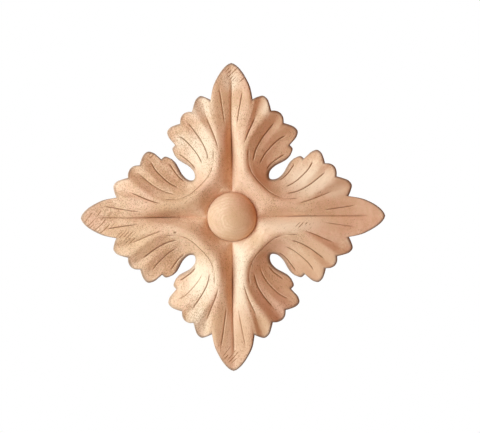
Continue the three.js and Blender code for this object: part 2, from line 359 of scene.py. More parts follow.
@dataclass
class Relief:
    """Heights of the carving above the back.

    Attributes:
        plan: the leaf's plan.
        crest, crest_at_rim: the curled ridge beside the ball, and where it runs out between two lobes.
        valley: an arm's middle, at shares of the way.
        eye, leaf: the edge of the eye at its inner end and at its neck.
        crest_fall: shares of the ridge's fall from root to rim, at shares of the way.
        steepness: slope of an arm's sides at its middle, over that of straight ones, at the root and out.
        turn: powers by which they round over into the ridge, at the root and out.
        root_reach: share of the way over which the ones at the root change to the ones further out.
        merge: how sharply two arms' valleys, and the dish round the ball, turn into each other.
        hollows: powers of the hollow from the ridge to the eye, at its root and over the lobes.
        hollow_turns: shares of the way between which the one changes to the other.
        flute_breadth: power that fills a flute out.
        flute_softens: shares of the way between which a flute's sharp bottom turns round.
        rounding: radius of the edge.
        flutes: the flutes of half a leaf.
    """

    plan: LeafPlan
    crest: float = 14.0 * MM
    crest_at_rim: float = 8.9 * MM
    valley: tuple[Point, ...] = (
        (0, 8.0 * MM), (0.3, 7.1 * MM), (0.55, 8.3 * MM), (0.8, 6.4 * MM), (1, 5.2 * MM),
    )
    eye: float = 8.0 * MM
    leaf: float = 3.8 * MM
    crest_fall: tuple[Point, ...] = ((0, 0), (0.25, 0), (0.45, 0.05), (0.65, 0.22), (0.85, 0.61), (1, 1))
    steepness: Range = (2.0, 2.6)
    turn: Range = (2.0, 1.15)
    root_reach: float = 0.6
    merge: float = 4
    hollows: Range = (1, 2)
    hollow_turns: Range = (0.1, 0.6)
    flute_breadth: float = 0.65
    flute_softens: Range = (0.6, 0.92)
    rounding: float = 0.8 * MM
    flutes: tuple[Flute, ...] = (
        Flute(1, 0.7 * MM, (0.5, 0.75), (0.55, 0.82), (0.82, 1)),
        Flute(3, 3.2 * MM, (0.45, 1.05), (0.5, 0.78)),
        Flute(5, 1.9 * MM, (0.28, 0.95), (0.34, 0.8)),
        Flute(7, 1.6 * MM, (0.5, 1.05), (0.28, 0.78)),
        Flute(9, 0.3 * MM, (0.5, 1.0), (0.26, 0.72)),
    )

    @staticmethod
    def _over_way(knots: tuple[Point, ...], way: np.ndarray) -> np.ndarray:
        """Values at shares of the way, on a smooth curve through some that is level at the root."""
        curve = curve_through(list(knots), (-knots[1][0], knots[1][1]))
        return np.interp(way, curve[:, 0], curve[:, 1])

    def broad(self, column: np.ndarray, way: np.ndarray, places: np.ndarray) -> np.ndarray:
        """Heights of the leaf before its flutes are cut.

        An arm rises from its middle to the ridge by the share u = d / (d + r), where d is a smooth least of
        the distances to both arms' middles and to the ball's foot, and r the one to the ridge. Its side
        follows u (s - (s - 1) u^t), steep at first by s and rounded over by t. Beyond the ridge the leaf
        falls to the eye's edge by a power of the columns left.

        Args:
            column: the column of each place.
            way: its share of the way out.
            places: its plan, with x and y on the last axis.

        Returns:
            A height for each.
        """
        crest = self.crest + (self.crest_at_rim - self.crest) * self._over_way(self.crest_fall, way)
        valley = self._over_way(self.valley, way)
        x, y = np.maximum(places[..., 0], HAIR), np.maximum(places[..., 1], HAIR)
        ball = np.maximum(np.hypot(x, y) - self.plan.ball_radius, HAIR)
        middle = (x**-self.merge + y**-self.merge + ball**-self.merge) ** (-1 / self.merge)
        up = middle / (middle + self.plan.guides[Guide.RIDGE].distance(places))
        outer = rise(way, 0, self.root_reach)
        steep, turn = (root + (further - root) * outer for root, further in (self.steepness, self.turn))
        arm = valley + (crest - valley) * up * (steep - (steep - 1) * up**turn)
        edge = self.eye + (self.leaf - self.eye) * way
        out = np.clip((column - Guide.RIDGE) / (Guide.EDGE - Guide.RIDGE), 0, 1)
        power = self.hollows[0] + (self.hollows[1] - self.hollows[0]) * rise(way, *self.hollow_turns)
        return np.where(column < Guide.RIDGE, arm, edge + (crest - edge) * (1 - out) ** power)

    def flute_cut(self, column: np.ndarray, way: np.ndarray) -> np.ndarray:
        """How deep the flutes cut.

        Across, a flute follows a power of 1 - sin of the distance in columns, which is sharp in the bottom,
        and turns into a round hollow near the rim.

        Args:
            column: the column of each place.
            way: its share of the way out.

        Returns:
            A depth for each.
        """
        cut = np.zeros(column.shape)
        soft = rise(way, *self.flute_softens)
        for flute in self.flutes:
            away = np.minimum(np.abs(column - flute.column), 1)
            sharp = np.maximum(1 - np.sin(away * math.pi / 2), 0) ** self.flute_breadth
            across = sharp + (1 - rise(away) - sharp) * soft
            left = 1 - rise(way, *flute.closes) if flute.closes else 1
            cut += flute.depth * rise(way, *flute.opens) * left * across
        return cut

    def rim_fall(self, distance: np.ndarray) -> np.ndarray:
        """How far the rounded edge has fallen at a distance from the rim: a quarter circle."""
        near = np.clip(1 - distance / self.rounding, 0, 1)
        return self.rounding * (1 - np.sqrt(1 - near**2))


@dataclass
class Surface:
    """A grid of points with its marks, to be welded into the rosette's mesh.

    Attributes:
        points: x, y, z on the last axis.
        groove: 0 on the open surface and 1 in the bottom of a gouge line; the material darkens it with dirt
            and painted shade.
        rim: 0 on the open surface and 1 on the edge; the material paints shade by it.
    """

    points: np.ndarray
    groove: np.ndarray
    rim: np.ndarray


@dataclass
class Rosette:
    """The whole rosette as one closed mesh.

    Attributes:
        low, high: corners of the CAD solid's box, which it fills.
        steps_in_strip: faces between a flute and the ridge beside it.
        crowding: power by which they crowd towards the flute's bottom.
        steps_out: faces from the root to the edge's rounding.
        rounding_starts: share of the way where that rounding starts.
        steps_in_rounding: faces over the edge's rounding.
        rounding_crowding: power by which they crowd towards the rim.
        steps_up_ball: faces from the ball's foot to its top.
        gouge_width, gouge_depth: the fine line in the bottom of every flute and along each arm's middle.
        gouge_fade: share of the way over which its ends fade.
        gouge_stray: how far its ends stray from the pattern, in shares of the way.
        gouge_strengths: shares of its depth between which the lines differ.
        middle_deepens, middle_fades: where the line along an arm's middle does so, in shares of the way.
        middle_strength: that line's share of the depth.
        stop_width, stop_depth: the fine line beside the curled ridge, where the scoop was set in.
        stop_reach: how far along the ridge it runs.
        stop_fade: share of the way over which it fades.
        stop_mark, foot_shade: how dark that line and the ball's foot are, over a gouge line; at the foot
            this is painted shade in the crease.
        ripple: height of the tool's soft waves over the surface.
        ripple_waves: how many there are, and the shortest and longest.
        ripple_height: heights above the back between which they come in.
        wander: how far the carver's hand strays from the pattern.
        wander_waves: how many waves make it up, and the shortest and longest.
        wander_fades: shares of half the span between which it fades.
        flush: depth below the ball's top within which the ripples fade.
        soft_edge: chamfer of the back's sawn edge.
        shaded_edge_width: width of the band along the edge that the material darkens with painted shade.
        weld: points that are closer than this become one.
        crease: angle between two faces that stays a sharp edge, in degrees.
        seed: start of the random draws.
    """

    low: Vector
    high: Vector
    steps_in_strip: int = 10
    crowding: float = 1.5
    steps_out: int = 88
    rounding_starts: float = 0.965
    steps_in_rounding: int = 10
    rounding_crowding: float = 1.6
    steps_up_ball: int = 26
    gouge_width: float = 1.1 * MM
    gouge_depth: float = 0.5 * MM
    gouge_fade: float = 0.08
    gouge_stray: float = 0.04
    gouge_strengths: Range = (0.65, 1.0)
    middle_deepens: Range = (0.1, 0.35)
    middle_fades: Range = (0.8, 0.92)
    middle_strength: float = 0.6
    stop_width: float = 0.55 * MM
    stop_depth: float = 0.45 * MM
    stop_reach: float = 0.52
    stop_fade: float = 0.1
    stop_mark: float = 0.8
    foot_shade: float = 0.45
    ripple: float = 0.05 * MM
    ripple_waves: tuple[int, float, float] = (14, 3.5 * MM, 9 * MM)
    ripple_height: Range = (2 * MM, 4 * MM)
    wander: float = 0.28 * MM
    wander_waves: tuple[int, float, float] = (6, 22 * MM, 45 * MM)
    wander_fades: Range = (0.8, 0.99)
    flush: float = 1 * MM
    soft_edge: float = 0.25 * MM
    shaded_edge_width: float = 1.8 * MM
    weld: float = 1e-6
    crease: float = 50.0
    seed: int = 7

    def __post_init__(self) -> None:
        """Takes the driving sizes from the box."""
        size = self.high - self.low
        self.half = size.z / 2
        self.shrinkage = size.x / size.z
        self.ball_height = size.y
        self.plan = LeafPlan(self.half)
        self.relief = Relief(self.plan)
        self.random = np.random.default_rng(self.seed)
        self.ripples = self._waves(*self.ripple_waves)
        self.drift = [self._waves(*self.wander_waves) for _ in ("x", "z")]

    def _waves(self, count: int, shortest: float, longest: float) -> np.ndarray:
        """Plane waves as rows of x and z frequency and phase, with random directions and lengths.

        Args:
            count: how many.
            shortest: the shortest length.
            longest: the longest length.

        Returns:
            The waves, one to a row.
        """
        length = self.random.uniform(shortest, longest, count)
        angle = self.random.uniform(0, 2 * math.pi, count)
        phase = self.random.uniform(0, 2 * math.pi, count)
        turns = 2 * math.pi / length
        return np.stack([turns * np.cos(angle), turns * np.sin(angle), phase], 1)

    @staticmethod
    def _sum_of(waves: np.ndarray, x: np.ndarray, z: np.ndarray) -> np.ndarray:
        """The waves' sum at places, scaled to run from about -1 to 1."""
        total = sum(np.sin(a * x + b * z + c) for a, b, c in waves)
        return total / math.sqrt(2 * len(waves))

    def _grid(self) -> tuple[np.ndarray, np.ndarray]:
        """Columns and ways of the half leaf's grid.

        The columns crowd towards the flutes' bottoms by a power of even steps, and the ways to the rim.

        Returns:
            The columns and the ways of all points, with a row to each way.
        """
        even = np.arange(self.steps_in_strip) / self.steps_in_strip
        from_flute, to_flute = even**self.crowding, 1 - (1 - even) ** self.crowding
        columns = [n + (from_flute if n % 2 else to_flute) for n in range(Guide.EDGE - 1)]
        columns.append(Guide.EDGE - 1 + rise(even))
        column = np.concatenate(columns + [np.array([float(Guide.EDGE)])])
        out = np.linspace(0, self.rounding_starts, self.steps_out + 1)
        rounding = np.arange(1, self.steps_in_rounding + 1) / self.steps_in_rounding
        last = 1 - (1 - self.rounding_starts) * (1 - rounding) ** self.rounding_crowding
        return np.meshgrid(column, np.concatenate([out, last]), indexing="xy")

    def _v_cut(self, away: np.ndarray) -> np.ndarray:
        """The gouge line's section: a V of its width, 1 in the bottom, by the distance from its middle."""
        return np.clip(1 - 2 * away / self.gouge_width, 0, 1)

    def _gouges(self, column: np.ndarray, way: np.ndarray, places: np.ndarray) -> np.ndarray:
        """How much of its full depth the gouge lines have at each place.

        Each half leaf's lines start, end and deepen a little differently.

        Args:
            column: the column of each place.
            way: its share of the way out.
            places: its plan, with x and y on the last axis.

        Returns:
            A share for each.
        """
        cut = np.zeros(column.shape)
        for flute in self.relief.flutes:
            stray = self.random.uniform(-self.gouge_stray, self.gouge_stray, 2)
            starts, ends = np.array(flute.line) + stray
            strength = self.random.uniform(*self.gouge_strengths)
            away = np.linalg.norm(places - self.plan.column(flute.column, way), axis=2)
            fades = 1 - rise(way, ends, ends + self.gouge_fade)
            along = rise(way, starts, starts + self.gouge_fade) * fades
            cut = np.maximum(cut, strength * along * self._v_cut(away))
        along = rise(way, *self.middle_deepens) * (1 - rise(way, *self.middle_fades))
        return np.maximum(cut, self.middle_strength * along * self._v_cut(np.abs(places[..., 1])))

    def _stop_line(self, column: np.ndarray, way: np.ndarray, places: np.ndarray) -> np.ndarray:
        """How much of its depth the fine line beside the curled ridge has at each place.

        Args:
            column: the column of each place.
            way: its share of the way out.
            places: its plan, with x and y on the last axis.

        Returns:
            A share for each.
        """
        away = self.plan.guides[Guide.RIDGE].distance(places)
        beside = np.clip(1 - np.abs(away - self.stop_width) / (self.stop_width / 2), 0, 1)
        along = 1 - rise(way, self.stop_reach - self.stop_fade, self.stop_reach)
        return np.where(column >= Guide.RIDGE, beside * along, 0)

    def half_leaf(self) -> Surface:
        """One half leaf in the plan's own frame: x along the arm, y across it, z the height.

        Its height is the broad form's less the flutes, the rounded edge and the fine lines.

        Returns:
            Its surface, with a row to each way.
        """
        column, way = self._grid()
        places = self.plan.places(column, way)
        to_end = np.linalg.norm(places - places[-1][None], axis=2)
        to_eye = np.linalg.norm(places - places[:, -1][:, None], axis=2)
        gouge = self._gouges(column, way, places)
        stop = self._stop_line(column, way, places)
        height = self.relief.broad(column, way, places) - self.relief.flute_cut(column, way)
        to_rim = np.minimum(to_end, to_eye)
        height -= self.relief.rim_fall(to_rim) + self.gouge_depth * gouge + self.stop_depth * stop
        points = np.concatenate([places, height[..., None]], 2)
        # The groove mark, which the material darkens with dirt and painted shade, and the rim mark, which
        # it paints with shade along the edge.
        groove = np.maximum(gouge, self.stop_mark * stop)
        return Surface(points, groove, 1 - rise(to_rim, 0, self.shaded_edge_width))

    def ball(self, foot: Surface) -> Surface:
        """The ball over a stretch of its foot: rings that shrink by a cosine and rise by a sine.

        Args:
            foot: the stretch's points and marks.

        Returns:
            Its surface, from the top down.
        """
        angle = np.linspace(math.pi / 2, 0, self.steps_up_ball + 1)[:, None, None]
        around = foot.points[None, :, :2] * np.cos(angle)
        ring = foot.points[None, :, 2:]
        points = np.concatenate([around, ring + (self.ball_height - ring) * np.sin(angle)], 2)
        groove = np.zeros(points.shape[:2])
        groove[-1] = foot.groove
        return Surface(points, groove, np.zeros(groove.shape))

    def _placed(self, surface: Surface, quarter: int, mirror: bool) -> Surface:
        """A surface turned by quarter turns, mirrored first if asked, and stood upright facing -Y.

        Args:
            surface: a surface in the plan's own frame.
            quarter: how many quarter turns.
            mirror: whether it is mirrored.

        Returns:
            The surface in its place, with its faces outwards.
        """
        x, y, height = np.moveaxis(surface.points, -1, 0)
        y = -y if mirror else y
        cos, sin = [(1, 0), (0, 1), (-1, 0), (0, -1)][quarter]
        points = np.stack([(cos * x - sin * y) * self.shrinkage, -height, sin * x + cos * y], -1)
        if mirror:
            return Surface(points[:, ::-1], surface.groove[:, ::-1], surface.rim[:, ::-1])
        return Surface(points, surface.groove, surface.rim)

    def _by_hand(self, points: np.ndarray) -> np.ndarray:
        """The points as a hand leaves them: straying a little in the plan, and softly rippled in height.

        Both fade towards the box's limits, and the back stays flat.

        Args:
            points: x, y, z on the last axis.

        Returns:
            The moved points.
        """
        x, y, z = np.moveaxis(points, -1, 0)
        inside = 1 - rise(np.maximum(np.abs(x), np.abs(z)) / self.half, *self.wander_fades)
        aside, up = (self.wander * inside * self._sum_of(waves, x, z) for waves in self.drift)
        lift = self.ripple * self._sum_of(self.ripples, x, z) * rise(-y, *self.ripple_height)
        front = -self.ball_height
        lifted = np.maximum(y + lift * rise(y, front, front + self.flush), front)
        return np.stack([x + aside, lifted, z + up], -1)

    def build(self) -> bpy.types.Object:
        """Builds the rosette.

        Returns:
            The finished object, closed and with its faces outwards, at the origin.
        """
        sheets, outline = [], []
        for quarter in range(4):
            for mirror in (True, False):
                leaf = self.half_leaf()
                corner = self.plan.foot_columns * self.steps_in_strip + 1
                # Painted shade in the crease round the ball's foot, carried by the groove mark.
                leaf.groove[0, :corner] = self.foot_shade
                foot = Surface(leaf.points[0, :corner], leaf.groove[0, :corner], leaf.rim[0, :corner])
                leaf, ball = (self._placed(s, quarter, mirror) for s in (leaf, self.ball(foot)))
                sheets += [leaf, ball]
                side = leaf.points[:, 0] if mirror else leaf.points[:, -1]
                end = leaf.points[-1]
                outline += [side[:-1], end[:-1]] if mirror else [end[:-1], side[:0:-1]]
        rim = self._by_hand(np.vstack(outline))
        sheets = [Surface(self._by_hand(s.points), s.groove, s.rim) for s in sheets]
        back = self._back(rim)
        sheets.append(self._wall(rim, back))
        return self._weld(sheets, back)

    def _inward(self, rim: np.ndarray) -> np.ndarray:
        """Vectors from the rim's points into the wood: unit ones square to it, averaged over neighbours.

        Args:
            rim: its points in order, one to a row.

        Returns:
            A vector for each.
        """
        along = np.roll(rim, -1, 0) - np.roll(rim, 1, 0)
        across = np.stack([-along[:, 2], np.zeros(len(rim)), along[:, 0]], 1)
        across /= np.maximum(np.linalg.norm(across, axis=1, keepdims=True), HAIR)
        reach = self.steps_in_rounding
        return sum(np.roll(across, k, 0) for k in range(-reach, reach + 1)) / (2 * reach + 1)

    def _back(self, rim: np.ndarray) -> np.ndarray:
        """The back's outline: the rim in the plane y = 0, drawn in by the sawn edge's chamfer."""
        return rim * FLAT + self._inward(rim) * self.soft_edge

    def _wall(self, rim: np.ndarray, back: np.ndarray) -> Surface:
        """The leaf's side, from its rim straight down to the chamfer, and that to the back's outline.

        Args:
            rim: its points in order.
            back: the back's outline, point by point the same.

        Returns:
            The side's surface.
        """
        foot = rim * FLAT - np.array([0.0, self.soft_edge, 0.0])
        rows = np.stack([rim, foot, back])
        rows = np.concatenate([rows, rows[:, :1]], 1)
        return Surface(rows, np.zeros(rows.shape[:2]), np.ones(rows.shape[:2]))

    def _weld(self, sheets: list[Surface], back: np.ndarray) -> bpy.types.Object:
        """Joins the sheets where their points meet, and closes the back with a flat face, the last one.

        Every face is shaded smooth up to the crease's angle, and the back is flat.

        Args:
            sheets: the surfaces.
            back: the back's outline.

        Returns:
            The object, at the origin.
        """
        quads, start = [], 0
        for sheet in sheets:
            rows, across = sheet.groove.shape
            index = start + np.arange(rows * across).reshape(rows, across)
            corners = [index[:-1, :-1], index[1:, :-1], index[1:, 1:], index[:-1, 1:]]
            quads.append(np.stack([c.ravel() for c in corners], 1))
            start += rows * across
        points = np.vstack([s.points.reshape(-1, 3) for s in sheets] + [back])
        marks = {
            name: np.concatenate([getattr(s, name).ravel() for s in sheets] + [np.zeros(len(back))])
            for name in ("groove", "rim")
        }
        cells = np.round(points / self.weld).astype(np.int64)
        _, first, same = np.unique(cells, axis=0, return_index=True, return_inverse=True)
        same = same.ravel()
        faces = [list(dict.fromkeys(q)) for q in same[np.vstack(quads)].tolist()]
        faces = [f for f in faces if len(f) > 2]
        faces.append(same[start:].tolist()[::-1])
        mesh = bpy.data.meshes.new(SURFACE)
        mesh.from_pydata(points[first].tolist(), [], faces)
        for name, mark in marks.items():
            attribute = mesh.attributes.new(name, "FLOAT", "POINT")
            attribute.data.foreach_set("value", mark[first].astype(np.float32))
        mesh.update()
        mesh.set_sharp_from_angle(angle=math.radians(self.crease))
        smooth = np.ones(len(mesh.polygons), bool)
        smooth[-1] = False
        mesh.polygons.foreach_set("use_smooth", smooth)
        return shown(SURFACE, mesh)


class Value:
    """A number or colour in a material's node tree, with arithmetic on it."""

    def __init__(self, tree: "Tree", socket: bpy.types.NodeSocket) -> None:
        """Wraps a node's output.

        Args:
            tree: the tree that it belongs to.
            socket: the output.
        """
        self.tree = tree
        self.socket = socket

    def _math(self, operation: str, *values: "Value | float") -> "Value":
        """A Math node on some values."""
        node = self.tree.add("ShaderNodeMath", {"operation": operation}, dict(enumerate(values)))
        return Value(self.tree, node.outputs[0])

    def __add__(self, other: "Value | float") -> "Value":
        """self + other."""
        return self._math("ADD", self, other)

    def __sub__(self, other: "Value | float") -> "Value":
        """self - other."""
        return self._math("SUBTRACT", self, other)

    def __rsub__(self, other: float) -> "Value":
        """other - self."""
        return self._math("SUBTRACT", other, self)

    def __mul__(self, other: "Value | float") -> "Value":
        """self * other."""
        return self._math("MULTIPLY", self, other)

    def __pow__(self, other: float) -> "Value":
        """self to a power."""
        return self._math("POWER", self, other)

    __radd__ = __add__
    __rmul__ = __mul__

    def sine(self) -> "Value":
        """Its sine."""
        return self._math("SINE", self)

    def most(self, other: "Value | float") -> "Value":
        """The greater of this and another value."""
        return self._math("MAXIMUM", self, other)

    def step(self, low: float, high: float) -> "Value":
        """A smooth step from 0 at low to 1 at high. With low above high it falls instead.

        Args:
            low: the value that gives 0.
            high: the value that gives 1.

        Returns:
            The step.
        """
        if low > high:
            return 1 - self.step(high, low)
        sockets = {"Value": self, "From Min": low, "From Max": high}
        node = self.tree.add("ShaderNodeMapRange", {"interpolation_type": "SMOOTHSTEP"}, sockets)
        return Value(self.tree, node.outputs["Result"])


class Tree:
    """A material's node tree."""

    def __init__(self, name: str) -> None:
        """Makes an empty material.

        Args:
            name: the material's name.
        """
        self.material = bpy.data.materials.new(name)
        self.material.use_nodes = True
        self.nodes = self.material.node_tree.nodes
        self.links = self.material.node_tree.links
        self.nodes.clear()

    def add(self, kind: str, settings: dict, sockets: dict) -> bpy.types.Node:
        """Adds a node.

        Args:
            kind: the node's type.
            settings: its properties, which are set first.
            sockets: a value or a link for each input, by name or number.

        Returns:
            The node.
        """
        node = self.nodes.new(kind)
        for key, setting in settings.items():
            setattr(node, key, setting)
        for key, value in sockets.items():
            if isinstance(value, Value):
                self.links.new(value.socket, node.inputs[key])
            else:
                node.inputs[key].default_value = value
        return node

    def object_place(self) -> Value:
        """Places on the piece, in millimetres.

        Returns:
            The places, as vectors.
        """
        place = self.add("ShaderNodeTexCoord", {}, {}).outputs["Object"]
        per_metre = (1 / MM,) * 3
        node = self.add("ShaderNodeMapping", {}, {"Vector": Value(self, place), "Scale": per_metre})
        return Value(self, node.outputs["Vector"])

    def facing(self) -> Value:
        """The way that the surface faces, on the piece's own axes."""
        return Value(self, self.add("ShaderNodeTexCoord", {}, {}).outputs["Normal"])

    def stretched(self, place: Value, scale: Triple) -> Value:
        """Places scaled on each axis."""
        node = self.add("ShaderNodeMapping", {}, {"Vector": place, "Scale": scale})
        return Value(self, node.outputs["Vector"])

    def turned(self, place: Value, angle: float) -> Value:
        """Places turned about Y, by an angle in degrees."""
        sockets = {"Vector": place, "Rotation": (0.0, math.radians(angle), 0.0)}
        return Value(self, self.add("ShaderNodeMapping", {}, sockets).outputs["Vector"])

    def noise(self, place: Value, scale: Triple, detail: float, roughness: float = 0.5) -> Value:
        """Soft noise from 0 to 1.

        Args:
            place: the places.
            scale: how often it changes in a millimetre, on each axis.
            detail: how many finer layers it has.
            roughness: how strong each finer layer is.

        Returns:
            The noise.
        """
        place = self.stretched(place, scale)
        sockets = {"Vector": place, "Scale": 1.0, "Detail": detail, "Roughness": roughness}
        return Value(self, self.add("ShaderNodeTexNoise", {}, sockets).outputs[0])

    def _on_vector(self, operation: str, place: Value, other: Triple) -> Value:
        """A Vector Math node on a place and a fixed vector."""
        node = self.add("ShaderNodeVectorMath", {"operation": operation}, {0: place, 1: other})
        return Value(self, node.outputs[0])

    def distance(self, place: Value, centre: Triple, stretch: Triple) -> Value:
        """The length of a place's vector from a centre, with its axes stretched.

        Args:
            place: the places.
            centre: the centre.
            stretch: factors for the axes.

        Returns:
            The length at each place.
        """
        gap = self._on_vector("MULTIPLY", self._on_vector("SUBTRACT", place, centre), stretch)
        node = self.add("ShaderNodeVectorMath", {"operation": "LENGTH"}, {0: gap})
        return Value(self, node.outputs["Value"])

    def part(self, place: Value, axis: str) -> Value:
        """One of a vector's numbers, by its axis."""
        return Value(self, self.add("ShaderNodeSeparateXYZ", {}, {0: place}).outputs[axis])

    def attribute(self, name: str) -> Value:
        """A number kept on the mesh's points."""
        return Value(self, self.add("ShaderNodeAttribute", {"attribute_name": name}, {}).outputs["Fac"])

    def mix(self, factor: Value | float, a: Value | Colour, b: Value | Colour) -> Value:
        """A colour between two, by a factor."""
        sockets = {"Factor": factor, 6: a, 7: b}
        return Value(self, self.add("ShaderNodeMix", {"data_type": "RGBA"}, sockets).outputs[2])


@dataclass(frozen=True)
class Spot:
    """A place on the face where the wood's colour or surface changes, in millimetres.

    Attributes:
        x, z: its middle.
        width, height: its half extents.
    """

    x: float
    z: float
    width: float
    height: float


@dataclass(frozen=True)
class Stain:
    """Spots of another colour.

    Attributes:
        colour: the colour.
        share: how much of it there is in their middles.
        spots: the spots.
        outside, inside: shares of their half extents between which it fades.
    """

    colour: Colour
    share: float
    spots: tuple[Spot, ...]
    outside: float = 1.7
    inside: float = 0.3

    def near(self, tree: Tree, place: Value) -> Value:
        """1 within the spots and 0 away from them.

        Args:
            tree: the material's tree.
            place: places on the piece.

        Returns:
            The mask.
        """
        near = []
        for spot in self.spots:
            away = tree.distance(place, (spot.x, 0.0, spot.z), (1 / spot.width, 0.0, 1 / spot.height))
            near.append(away.step(self.outside, self.inside))
        return reduce(Value.most, near)

    def over(self, tree: Tree, place: Value, colour: Value) -> Value:
        """The spots over a colour."""
        return tree.mix(self.near(tree, place) * self.share, colour, self.colour)


@dataclass(frozen=True)
class Pattern:
    """A soft noise in the wood, and the colour that it brings.

    Attributes:
        colour: the colour.
        scale: how often it changes in a millimetre, on each axis.
        low, high: the noise between which the colour comes in.
        share: how much of it there is where it is full.
        detail, roughness: finer layers of the noise, and how strong each is.
        height: its part in the surface's unevenness.
    """

    colour: Colour
    scale: Triple
    low: float
    high: float
    share: float = 1.0
    detail: float = 2
    roughness: float = 0.5
    height: float = 0.0

    def on(self, tree: Tree, place: Value) -> Value:
        """The noise."""
        return tree.noise(place, self.scale, self.detail, self.roughness)

    def over(self, tree: Tree, noise: Value, colour: Value | Colour) -> Value:
        """The pattern over a colour, by its noise."""
        return tree.mix(noise.step(self.low, self.high) * self.share, colour, self.colour)


@dataclass(frozen=True)
class Rings:
    """Year rings as they show on a cut, in millimetres.

    Attributes:
        centre: the spot round which they run.
        stretch: how fast they come on each axis.
        width: from one ring to the next.
        warp: how far they stray.
        warp_scale: how often their strays change, on each axis.
        warp_detail: finer layers of them.
        share: how dark they are.
    """

    centre: Triple
    stretch: Triple
    width: float
    warp: float
    warp_scale: Triple
    warp_detail: float
    share: float

    def wave(self, tree: Tree, place: Value) -> Value:
        """A wave from -1 to 1 in the distance from the centre, with a slow warp.

        Args:
            tree: the material's tree.
            place: places on the piece.

        Returns:
            The wave.
        """
        away = tree.distance(place, self.centre, self.stretch)
        warp = tree.noise(place, self.warp_scale, self.warp_detail) * self.warp
        return ((away + warp) * (2 * math.pi / self.width)).sine()


